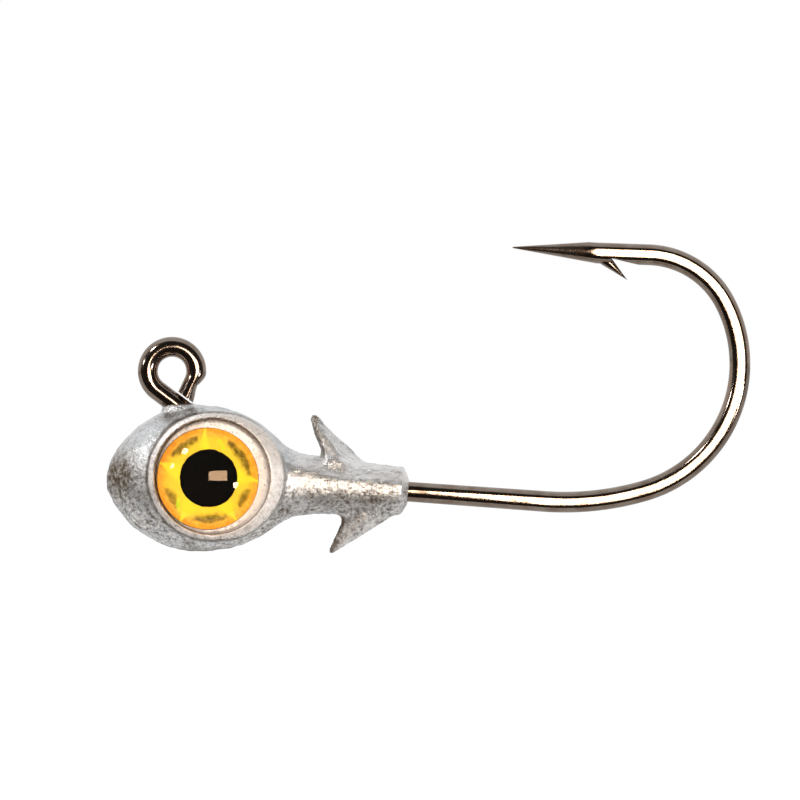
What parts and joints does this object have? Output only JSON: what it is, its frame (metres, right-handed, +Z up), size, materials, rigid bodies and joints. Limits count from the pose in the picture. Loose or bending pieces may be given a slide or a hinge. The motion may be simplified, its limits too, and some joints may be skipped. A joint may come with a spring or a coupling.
{
  "type": "jig head",
  "caption": "Fish-head jig: bare lead head with a barbed bait keeper, cast round a bronzed-black round-bend jig hook, with domed holographic eyes.",
  "frame": {"origin": "centre of the hole of the hook's line eye, in the plane of the hook", "axes": "+X from the fish's nose towards the hook bend, +Z up (the point rides up, as fished), +Y across the hook plane towards the fish's right side"},
  "size_m": [0.0381, 0.0082, 0.0184],
  "materials": {
    "bare_lead": "satin",
    "black_nickel": "polished",
    "white_adhesive": "matte",
    "iris_film": "gloss",
    "pupil_print": "gloss",
    "clear_resin": "gloss"
  },
  "bodies": {
    "root": {"head_casting": "bare_lead", "hook": "black_nickel", "left_eye_adhesive": "white_adhesive", "left_eye_film": "iris_film", "left_eye_pupil": "pupil_print", "left_eye_dome": "clear_resin", "right_eye_adhesive": "white_adhesive", "right_eye_film": "iris_film", "right_eye_pupil": "pupil_print", "right_eye_dome": "clear_resin"}
  },
  "joints": []
}
